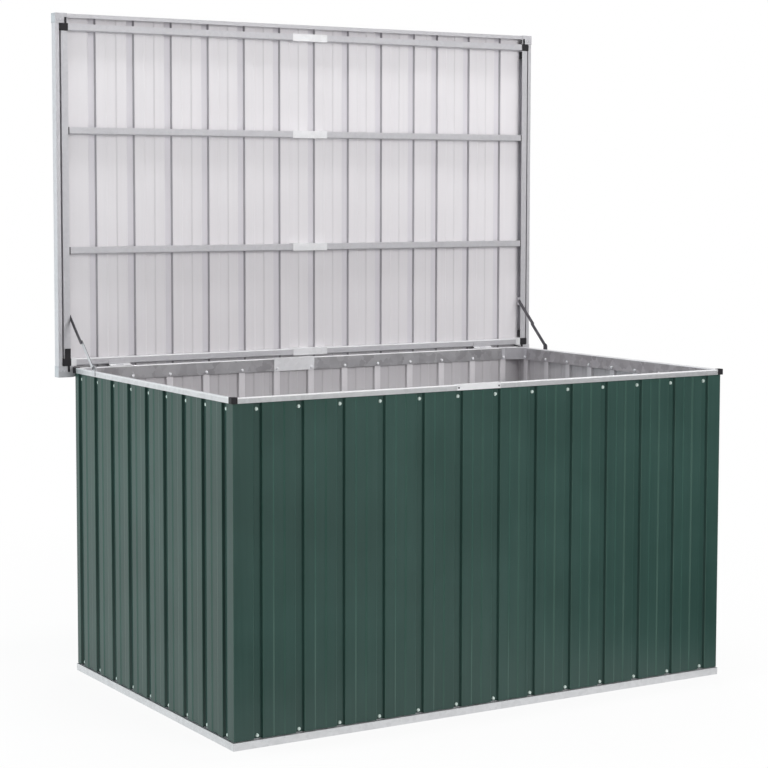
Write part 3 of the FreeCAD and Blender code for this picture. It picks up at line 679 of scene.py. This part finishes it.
for node, line in lid_lines.items():
    points = [on_lid(x, lid_start, LID_PAN + h) for x, h in line]
    sheet = traced_sheet(node + "_ribbed", points, lid_reach, TOWARDS_US)
    bend_and_thicken(sheet, (lid_backing, green_paint), cut_edge=1)
    tone_by_depth(sheet, on_lid(0, lid_start, LID_PAN), TOWARDS_US, LID_TONES)
    smooth_shaded(sheet)
    hand_over(sheet, node)
    print(sheet.name, len(sheet.data.polygons), "faces")

# %% [markdown]
# ## Rolled channels, tubes and plates
# These pieces have the right shape already. What they lack is what a roller leaves: no edge of folded steel
# is truly sharp, and a thin bright line runs along every fold. Some kinds need more than eased edges. The
# lid's side tubes are open towards the middle of the lid, which shows as a dark band beside the right one,
# so long openings are cut there and only the place of the stay's rivet is left. Faces are cut out of both
# skins of the wall and the rims of the holes are bridged, which leaves cleaner faces than a Boolean would.

# %% Openings of the side tubes
STAY_REACH = 145.0
STAY_RIVET = HINGE_Z + STAY_REACH
RIVET_LAND = 12.0
TUBE_END = 2.0
TUBE_WALL = 1.0
OPENING_LIP = 0.6


def open_side(piece):
    """Cut the long openings in the side of a tube that faces the middle of the lid."""
    across = [abs(corner[0]) / MM for corner in piece.bound_box]
    heights = [corner[2] / MM for corner in piece.bound_box]
    openings = [
        (min(heights) + TUBE_END, STAY_RIVET - RIVET_LAND),
        (STAY_RIVET + RIVET_LAND, max(heights) - TUBE_END),
    ]
    wall = (min(across) + TUBE_WALL / 2) * MM
    bpy.ops.object.mode_set(mode="EDIT")
    for low, high in openings:
        for height in (low, high):
            bpy.ops.mesh.select_all(action="SELECT")
            bpy.ops.mesh.bisect(plane_co=(0, 0, height * MM), plane_no=(0, 0, 1))
        middle = (low + high) / 2 * MM

        def on_inner_wall(face):
            centre = face.calc_center_median()
            return abs(abs(centre.x) - wall) < TUBE_WALL * MM and abs(centre.z - middle) < MM

        select_faces(piece, lambda face: abs(face.normal.x) > SQUARE_ON and on_inner_wall(face))
        bpy.ops.mesh.inset(thickness=OPENING_LIP * MM, use_individual=True)
        bpy.ops.mesh.bridge_edge_loops()
    bpy.ops.object.mode_set(mode="OBJECT")


print("between the openings", 2 * RIVET_LAND, "mm are left for the rivet")

# %% [markdown]
# Some long edges are rolled round: the top edges of the rim, the lower front edge of every rail as the lid
# stands open, and the upper front edge of the rail next to the hinges. On the rim and on that upper edge the
# rolled faces also get the bright plate finish, a painted highlight of the light from above. A wide bevel on
# every edge would also round the cut ends, so these edges are picked by their length and their place.

# %% Rolled edges
EDGE_ROLL = 3.0
LONG_EDGE = 100.0
# A corner this near to a line or plane lies on it.
CLOSE = 0.1


def roll_edges(piece, on_edge, with_painted_highlight):
    """Round the long edges whose two corners pass a test, and give them a painted highlight or not."""
    if with_painted_highlight:
        piece.data.materials.append(plate_steel)
    finish = len(piece.data.materials) - 1
    bpy.ops.object.mode_set(mode="EDIT")
    bpy.ops.mesh.select_mode(type="EDGE")
    bpy.ops.mesh.select_all(action="DESELECT")
    shape = bmesh.from_edit_mesh(piece.data)
    for edge in shape.edges:
        if edge.calc_length() > LONG_EDGE * MM and all(on_edge(corner.co / MM) for corner in edge.verts):
            edge.select_set(True)
    bmesh.update_edit_mesh(piece.data)
    bpy.ops.mesh.bevel(
        offset=EDGE_ROLL * MM, segments=4, affect="EDGES", clamp_overlap=False, material=finish,
    )
    bpy.ops.object.mode_set(mode="OBJECT")


def on_rim_edge(place):
    """True on the outer and the inner top edge of the rim."""
    inwards = min(BODY_WIDTH / 2 - abs(place.x), BODY_DEPTH / 2 - abs(place.y))
    return place.z > RIM_HEIGHT - CLOSE and (inwards < CLOSE or abs(inwards - RAIL_WIDTH) < CLOSE)


def roll_rail(piece, upper_too):
    """Round the lower front edge of a rail, as the lid stands open, and for some the upper one."""
    heights = [corner[2] / MM for corner in piece.bound_box]
    front = min(corner[1] for corner in piece.bound_box) / MM
    low, high = min(heights), max(heights)
    roll_edges(piece, lambda place: abs(place.z - low) < CLOSE and abs(place.y - front) < CLOSE, False)
    if upper_too:
        roll_edges(piece, lambda place: abs(place.z - high) < CLOSE and abs(place.y - front) < CLOSE, True)


print("long edges rolled to", EDGE_ROLL, "mm")

# %% [markdown]
# The feet and lower links of the stays get the bright tube finish on their outer faces and keep the dark one
# on
# the edges and the inner side: painted light and painted shade on one steel. Drawing all these pieces anew
# would only repeat their solids, so each goes through the same hands: a copy of the solid is merged, its flat
# faces are joined, it gets what its kind needs, and a fine bevel eases the edges.

# %% Ease the edges of the steel
EASED = {"channel": 0.4, "lid_frame": 0.4, "bright_plate": 0.4, "hardware": 0.25, "black_plastic": 0.8}
EASED_ANGLE = math.radians(30)
FLAT_ANGLE = math.radians(1)
WELD = 0.01


def paint_light_outside(piece):
    """Paint light on the faces that look away from the middle of the box: they get the bright finish."""
    def looks_outwards(face):
        side = math.copysign(1, face.calc_center_median().x)
        return face.normal.x * side > SQUARE_ON

    paint_faces(piece, tube_steel, looks_outwards)


def eased_copy(node, width):
    piece = bpy.data.objects.new(node + "_eased", nodes[node].data.copy())
    bpy.context.collection.objects.link(piece)
    piece.data.materials.clear()
    piece.data.materials.append(finish_of(node))
    only(piece)
    bpy.ops.mesh.customdata_custom_splitnormals_clear()
    bpy.ops.object.mode_set(mode="EDIT")
    bpy.ops.mesh.select_all(action="SELECT")
    bpy.ops.mesh.remove_doubles(threshold=WELD * MM)
    bpy.ops.mesh.dissolve_limited(angle_limit=FLAT_ANGLE)
    bpy.ops.object.mode_set(mode="OBJECT")
    if node.startswith("lid_tube"):
        open_side(piece)
    if node.startswith("rim_rail"):
        # The rim's rolled top edges get a painted highlight.
        roll_edges(piece, on_rim_edge, True)
    if node.startswith("lid_rail") and slot_of[node] == "lid_frame":
        roll_rail(piece, upper_too=node.startswith("lid_rail_rear"))
    # The outer faces of the lower links and feet get painted light.
    if node.startswith(("stay_lower", "stay_feet")):
        paint_light_outside(piece)
    finish_with(
        piece, "BEVEL", width=width * MM, segments=2, limit_method="ANGLE", angle_limit=EASED_ANGLE,
    )
    smooth_shaded(piece)
    hand_over(piece, node)
    return piece


for node, slot in slot_of.items():
    if slot in EASED:
        eased = eased_copy(node, EASED[slot])
        print(eased.name, len(eased.data.polygons), "faces")

# %% [markdown]
# ## Bolts and nuts
# Every groove has a bolt at its top and its foot, with a nut on the channel inside. Bolts, nuts, screws and
# rivets all have an axis and a stepped top, so they are made like turned parts: a short cylinder with few
# sides, whose top face is inset and raised or sunk.

# %% Turned shapes
def stub(name, corners, radius, height):
    """A short upright cylinder, left in edit mode with its top face selected."""
    bpy.ops.object.select_all(action="DESELECT")
    bpy.ops.mesh.primitive_cylinder_add(
        vertices=corners, radius=radius * MM, depth=height * MM, location=(0, 0, height / 2 * MM),
    )
    piece = bpy.context.object
    piece.name = name
    bpy.ops.object.transform_apply(location=True, rotation=True, scale=True)
    bpy.ops.object.mode_set(mode="EDIT")
    select_faces(piece, lambda face: face.normal.z > SQUARE_ON)
    return piece


def step_top(inwards, upwards):
    """Inset the selected top face, and raise it or sink it."""
    bpy.ops.mesh.inset(thickness=inwards * MM)
    bpy.ops.transform.translate(value=(0, 0, upwards * MM))


def add_disc(piece, corners, radius, low, high, chamfer):
    """In edit mode, one more disc on the same axis, with a chamfered top edge."""
    bpy.ops.mesh.select_all(action="DESELECT")
    bpy.ops.mesh.primitive_cylinder_add(
        vertices=corners, radius=radius * MM, depth=(high - low) * MM, location=(0, 0, (low + high) / 2 * MM),
    )
    select_faces(piece, lambda face: face.normal.z > SQUARE_ON and len(face.verts) == corners)
    step_top(chamfer, chamfer)


print("stubs and discs ready")

# %% [markdown]
# A bolt is a hexagon with a chamfered top on a thin washer; a plain hexagon would have no rim to catch the
# light. The nut gets the end of its bolt standing out of it. Each is modelled once and then copied.

# %% A bolt and a nut
HEXAGON = 6
WASHER_SIDES = 12
BOLT_END_SIDES = 8
BOLT_FLATS = 8.0
BOLT_RADIUS = BOLT_FLATS / math.sqrt(3)
BOLT_HEAD = 3.0
BOLT_CROWN = 0.6
BOLT_CHAMFER = 0.9
WASHER_RADIUS = 4.9
WASHER = 0.5
WASHER_CHAMFER = 0.3
NUT_BODY = 2.5
NUT_CROWN = 0.5
NUT_CHAMFER = 0.8
BOLT_END = 3.6
BOLT_END_RADIUS = 2.0
BOLT_END_CHAMFER = 0.4
bolt = stub("bolt", HEXAGON, BOLT_RADIUS, BOLT_HEAD - BOLT_CROWN)
step_top(BOLT_CHAMFER, BOLT_CROWN)
add_disc(bolt, WASHER_SIDES, WASHER_RADIUS, 0, WASHER, WASHER_CHAMFER)
bpy.ops.object.mode_set(mode="OBJECT")
nut = stub("nut", HEXAGON, BOLT_RADIUS, NUT_BODY)
step_top(NUT_CHAMFER, NUT_CROWN)
add_disc(nut, BOLT_END_SIDES, BOLT_END_RADIUS, NUT_BODY, BOLT_END, BOLT_END_CHAMFER)
bpy.ops.object.mode_set(mode="OBJECT")
for small, steel in ((bolt, bolt_steel), (nut, nut_steel)):
    small.data.materials.append(steel)
    print(small.name, len(small.data.polygons), "faces")

# %% [markdown]
# A copy is turned so that its axis points away from its seat, and spun a little differently from the next,
# because nobody tightens bolts to the same angle. Linked copies would be lighter, but the copies of one kind
# are joined to one object, because they ride on one body and stand for one solid.

# %% Copies on their seats
SPIN = 0.7
SMALL_SMOOTH_ANGLE = math.radians(25)


def set_copies(name, original, places):
    """Join copies of a small piece into one object, each on a point, with its axis in a direction."""
    bpy.ops.object.select_all(action="DESELECT")
    for number, (point, axis) in enumerate(places):
        twin = bpy.data.objects.new(f"{name}.{number}", original.data.copy())
        bpy.context.collection.objects.link(twin)
        turned = axis.to_track_quat("Z", "Y").to_matrix().to_4x4()
        twin.data.transform(Matrix.Translation(point) @ turned @ Matrix.Rotation(SPIN * number, 4, "Z"))
        twin.select_set(True)
        bpy.context.view_layer.objects.active = twin
    bpy.ops.object.join()
    joined = bpy.context.object
    joined.name = name
    bpy.ops.object.shade_smooth_by_angle(angle=SMALL_SMOOTH_ANGLE)
    return joined


print("each copy is turned", round(math.degrees(SPIN)), "degrees further than the last")

# %% [markdown]
# A bolt sits on the floor of its groove, which is one sheet further out at the lap. A nut sits on the inner
# side of the channel, or on the splice or the corner bracket that covers the channel there.

# %% Bolts and nuts of the walls
TOP_BOLT = RIM_HEIGHT - 31.0
BASE_BOLT = 29.0
SPLICE_WALL = 1.0
BRACKET_WALL = 1.2
# Grooves behind a splice or a bracket, counted from 0 at the left as seen from outside.
SPLICED = {"front": (5, 6), "back": (6, 7)}
last_back = len(rib_centres("back")) - 1
last_right = len(rib_centres("right")) - 1
BRACKETED = {"back": (0, last_back), "right": (last_right,), "left": (0,)}
bolt_places = []
nut_places = []
for side in SIDES:
    ribs = rib_centres(side)
    for i, u in enumerate(ribs):
        groove = PAN_FACE + RIB_DEPTH - (SHEET if i == lap_rib(ribs) else 0)
        cover = SPLICE_WALL if i in SPLICED.get(side, ()) else 0.0
        if i in BRACKETED.get(side, ()):
            cover = BRACKET_WALL
        for z, seat in ((TOP_BOLT, RAIL_WIDTH + cover), (BASE_BOLT, RAIL_WIDTH)):
            bolt_places.append((on_wall(side, u, groove, z), OUTWARD[side]))
            nut_places.append((on_wall(side, u, seat, z), -OUTWARD[side]))
wall_bolts = set_copies("wall_bolts_washered", bolt, bolt_places)
hand_over(wall_bolts, "wall_bolts")
wall_nuts = set_copies("wall_nuts_chamfered", nut, nut_places)
hand_over(wall_nuts, "wall_nuts")
print(len(bolt_places), "bolts and", len(nut_places), "nuts on the walls")

# %% [markdown]
# The lid's sheets are bolted to the cross rails beside every rib. The heads are on the outside of the lid,
# so they show from behind while it is open.

# %% Bolts of the lid
# Middle lines of the cross rails on the closed lid, from the middle of the box towards the back.
LID_RAILS = {"rear": 479.65, "aft": 159.65, "fore": -182.0, "front": -474.0}
LID_BOLT_OFFSET = 28.0
lid_places = [
    (on_lid(x + LID_BOLT_OFFSET, y, LID_PAN + SHEET), -TOWARDS_US)
    for x in lid_ribs_left + lid_ribs_right for y in LID_RAILS.values()
]
lid_bolts = set_copies("lid_bolts_washered", bolt, lid_places)
hand_over(lid_bolts, "lid_bolts")
print(len(lid_places), "bolts on the lid")

# %% [markdown]
# ## Screws and rivets
# The splices are held by low screws, the corner plates by blind rivets and the hinge leaves by countersunk
# screws. From here they are all small dull discs with a dark middle, so one shape serves: a low stub whose
# top is stepped in and sunk. First the screws of the splices, one near each end of a splice.

# %% Splice screws
HEAD_SIDES = 10
HEAD_RING = 0.25
HEAD_SLOPE = 0.2
HEAD_SINK = 0.8
SPLICE_SCREW_RADIUS = 2.5
SPLICE_SCREW_HEAD = 0.8
SPLICE_SCREW_ASIDE = 4.0
SPLICE_SCREW_DROP = 8.0


def low_head(name, radius, height, steel):
    piece = stub(name, HEAD_SIDES, radius, height)
    step_top(radius * HEAD_RING, 0)
    step_top(radius * HEAD_SLOPE, -height * HEAD_SINK)
    bpy.ops.object.mode_set(mode="OBJECT")
    piece.data.materials.append(steel)
    return piece


screw = low_head("screw", SPLICE_SCREW_RADIUS, SPLICE_SCREW_HEAD, stay_steel)
screw_height = RIM_HEIGHT - SPLICE_SCREW_DROP
screw_places = []
for side, (first, last) in SPLICED.items():
    ribs = rib_centres(side)
    for u in (ribs[first] - SPLICE_SCREW_ASIDE, ribs[last] + SPLICE_SCREW_ASIDE):
        screw_places.append((on_wall(side, u, -SPLICE_WALL, screw_height), OUTWARD[side]))
splice_screws = set_copies("splice_screws_recessed", screw, screw_places)
hand_over(splice_screws, "splice_screws")
print(len(screw_places), "splice screws")

# %% [markdown]
# The rivets of the lid's corner plates have no solids of their own, so they only ride on the lid. Each plate
# shows two, side by side near its end.

# %% Rivets of the corner plates
RIVET_RADIUS = 2.2
RIVET_HEAD = 0.6
TRIM_HEIGHT = 28.0
TRIM_FOOT = LID_PAN + RIB_DEPTH + SHEET + TRIM_WALL - TRIM_HEIGHT
PLATE_WALL = 1.2
PLATE_FACE = TRIM_FOOT - PLATE_WALL
RIVET_INSETS = (6, 16)
RIVET_FROM_END = 17
rivet = low_head("rivet", RIVET_RADIUS, RIVET_HEAD, tube_steel)
rivet_places = [
    (on_lid(sign * (LID_WIDTH / 2 - inset), y, PLATE_FACE), TOWARDS_US)
    for sign in (-1, 1) for inset in RIVET_INSETS
    for y in (LID_FRONT + RIVET_FROM_END, LID_BACK - RIVET_FROM_END)
]
plate_rivets = set_copies("lid_plate_rivets", rivet, rivet_places)
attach(plate_rivets, "lid")
print(len(rivet_places), "rivets")

# %% [markdown]
# The screws of the hinge leaves have no solids either. One set rides on the body and one on the lid. They are
# almost flush, because the leaves close on each other.

# %% Screws of the hinges
LEAF_SCREW_RADIUS = 2.4
LEAF_SCREW_HEAD = 0.15
HINGE_FROM_SIDE = 145.0
HINGE_X = BODY_WIDTH / 2 - HINGE_FROM_SIDE
LEAF_SETBACK = 9.5
LEAF_MIDDLE = HINGE_Y - LEAF_SETBACK
LEAF_SCREWS = (-24, 0, 24)
leaf_screw = low_head("leaf_screw", LEAF_SCREW_RADIUS, LEAF_SCREW_HEAD, tube_steel)
body_screws = []
lid_screws = []
for sign in (-1, 1):
    for x in LEAF_SCREWS:
        above = Vector((sign * HINGE_X + x, LEAF_MIDDLE, RIM_HEIGHT + LEAF_WALL)) * MM
        body_screws.append((above, Vector((0, 0, 1))))
        below = on_lid(sign * HINGE_X + x, LEAF_MIDDLE, TUBE_FACE - LEAF_WALL)
        lid_screws.append((below, TOWARDS_US))
for body, places in (("body", body_screws), ("lid", lid_screws)):
    hinge_screws = set_copies(body + "_hinge_screws", leaf_screw, places)
    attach(hinge_screws, body)
for small in (bolt, nut, screw, rivet, leaf_screw):
    bpy.data.objects.remove(small)
print(len(body_screws + lid_screws), "hinge screws")

# %% [markdown]
# ## What keeps its solid
# The floor sheets and anything else that is already right keep their solids and only get their finish.

# %% Finishes for the remaining solids
for node, piece in nodes.items():
    if not piece.hide_render:
        piece.data.materials.clear()
        piece.data.materials.append(finish_of(node))
        print(node, "wears", finish_of(node).name)

# %% [markdown]
# ## Floor and light
# The box stands on a plain pale floor in a white studio. Steel and paint mirror the studio: it is pale all
# round, but dim to the right and around the camera, which is why the rails look grey, the front wall's right
# end is darker, and the flanks of the left wall's grooves are almost black. Floor and world share those dim
# sides, as directions.

# %% The studio in a mirror
STUDIO_PALE = 0.85
DIM_RIGHT = (0.90, -0.44, 0.0)
DIM_CAMERA = (-0.47, -0.88, 0.0)
DIM_MIDDLE = math.cos(math.radians(26))
DIM_EDGE = math.cos(math.radians(43))


def studio_in_a_mirror(tree, towards, right_level, camera_level):
    """How bright steel and paint see the studio in a direction: pale, but for two dim sides."""
    level = STUDIO_PALE
    for side, least in ((DIM_RIGHT, right_level), (DIM_CAMERA, camera_level)):
        along = add_node(tree, "ShaderNodeVectorMath", {"operation": "DOT_PRODUCT"}, {0: towards, 1: side})
        part = stretched(tree, along.outputs["Value"], 1.0, least, start=DIM_EDGE, end=DIM_MIDDLE)
        level = worked(tree, "MULTIPLY", part, level)
    return level


print("dim towards", DIM_RIGHT, "and", DIM_CAMERA)

# %% [markdown]
# Near the box the floor takes its shadow, and further out it turns to the white of the background, so no
# horizon shows. A curved backdrop would do that from one side only, a round floor does it from all. To the
# eye its white is full; in a mirror it has the level of the studio.

# %% Floor
FLOOR_RADIUS = 14.0
SHADOW_REACH = 0.9
WHITE_FROM = 3.0
WHITE_NEAR = 0.92
PALE_REACH = 1.3
WHITE = (1, 1, 1, 1)
bpy.ops.object.select_all(action="DESELECT")
bpy.ops.mesh.primitive_circle_add(vertices=64, radius=FLOOR_RADIUS, fill_type="NGON")
floor = bpy.context.object
floor.name = "floor"
ground, tree, shader, place = new_finish("pale_studio_floor")
grain = patches(tree, place, size=40, detail=3.0)
tree.links.new(mixed(tree, grain, "#ececec", "#f2f2f2"), shader.inputs["Base Color"])
shader.inputs["Roughness"].default_value = 0.9
shader.inputs["Specular IOR Level"].default_value = 0.0
away = add_node(tree, "ShaderNodeVectorMath", {"operation": "LENGTH"}, {0: place}).outputs["Value"]
outward = add_node(tree, "ShaderNodeVectorMath", {"operation": "NORMALIZE"}, {0: place}).outputs["Vector"]
path = add_node(tree, "ShaderNodeLightPath")
fade = stretched(tree, away, WHITE_NEAR, 1.0, start=SHADOW_REACH, end=WHITE_FROM)
eye = worked(tree, "MAXIMUM", path.outputs["Is Camera Ray"], path.outputs["Is Glossy Ray"])
near = stretched(tree, away, STUDIO_PALE, 0.0, start=SHADOW_REACH, end=PALE_REACH)
pale = worked(tree, "MAXIMUM", studio_in_a_mirror(tree, outward, 0.0, 0.0), near)
glow = worked(tree, "MAXIMUM", pale, path.outputs["Is Camera Ray"])
white = add_node(tree, "ShaderNodeEmission", inputs={"Color": WHITE, "Strength": glow})
blend = add_node(
    tree, "ShaderNodeMixShader",
    inputs={0: worked(tree, "MULTIPLY", fade, eye), 1: shader.outputs["BSDF"], 2: white.outputs["Emission"]},
)
tree.links.new(blend.outputs["Shader"], tree.nodes["Material Output"].inputs["Surface"])
floor.data.materials.append(ground)
print("floor", [round(size, 1) for size in floor.dimensions])

# %% [markdown]
# The world is white to the eye and gentler as a light, and steel and paint see the studio with its dim sides.
# One strength for all three would either grey the background or wash out the box, so Light Path parts them.

# %% World
AMBIENT = 0.45
world = bpy.data.worlds.new("white studio")
bpy.context.scene.world = world
world.use_nodes = True
tree = world.node_tree
path = add_node(tree, "ShaderNodeLightPath")
towards = add_node(tree, "ShaderNodeTexCoord").outputs["Generated"]
mirrored = studio_in_a_mirror(tree, towards, right_level=0.6, camera_level=0.05)
lit = add_node(
    tree, "ShaderNodeMix", {"data_type": "FLOAT"},
    {"Factor": path.outputs["Is Glossy Ray"], "A": AMBIENT, "B": mirrored},
)
strength = worked(tree, "MAXIMUM", lit.outputs["Result"], path.outputs["Is Camera Ray"])
background = tree.nodes["Background"]
background.inputs["Color"].default_value = WHITE
tree.links.new(strength, background.inputs["Strength"])
bpy.context.scene.view_settings.view_transform = "Standard"
print("world lights at", AMBIENT)

# %% [markdown]
# A white world alone would fill every groove with light. Three large soft lamps, in front to the right, on
# the left and above, give the sheets their shape: the flanks of the grooves that we see turn away from the
# front lamp and stay dark, and the long narrow lamp above draws shadows under the lid's rails. The left one
# is a little cooler. A fourth lamp lights the back and the right side.

# %% Lamps
def soft_lamp(name, place, aim, size, power, colour="#ffffff"):
    """A large lamp that lights the box and isn't itself seen in the steel."""
    lamp = bpy.data.lights.new(name, "AREA")
    lamp.shape = "RECTANGLE"
    lamp.size, lamp.size_y = size
    lamp.energy = power
    lamp.color = linear(colour)[:3]
    box = bpy.data.objects.new(name, lamp)
    box.location = place
    box.rotation_euler = (Vector(aim) - box.location).to_track_quat("-Z", "Y").to_euler()
    box.visible_glossy = False
    bpy.context.collection.objects.link(box)


soft_lamp("front lamp", place=(1.8, -5.0, 2.7), aim=(0, 0.2, 0.9), size=(3.0, 3.0), power=166)
soft_lamp(
    "left lamp", place=(-5.0, 1.6, 1.6), aim=(-0.5, 0, 0.6), size=(2.4, 2.4), power=125, colour="#e4fdff",
)
soft_lamp("top lamp", place=(0.2, -0.14, 4.6), aim=(0.2, -0.14, 0), size=(3.0, 0.4), power=76)
soft_lamp("back lamp", place=(3.4, 5.4, 3.0), aim=(0.2, 0.4, 0.8), size=(3.0, 3.0), power=130)
print("four soft lamps in a white studio")
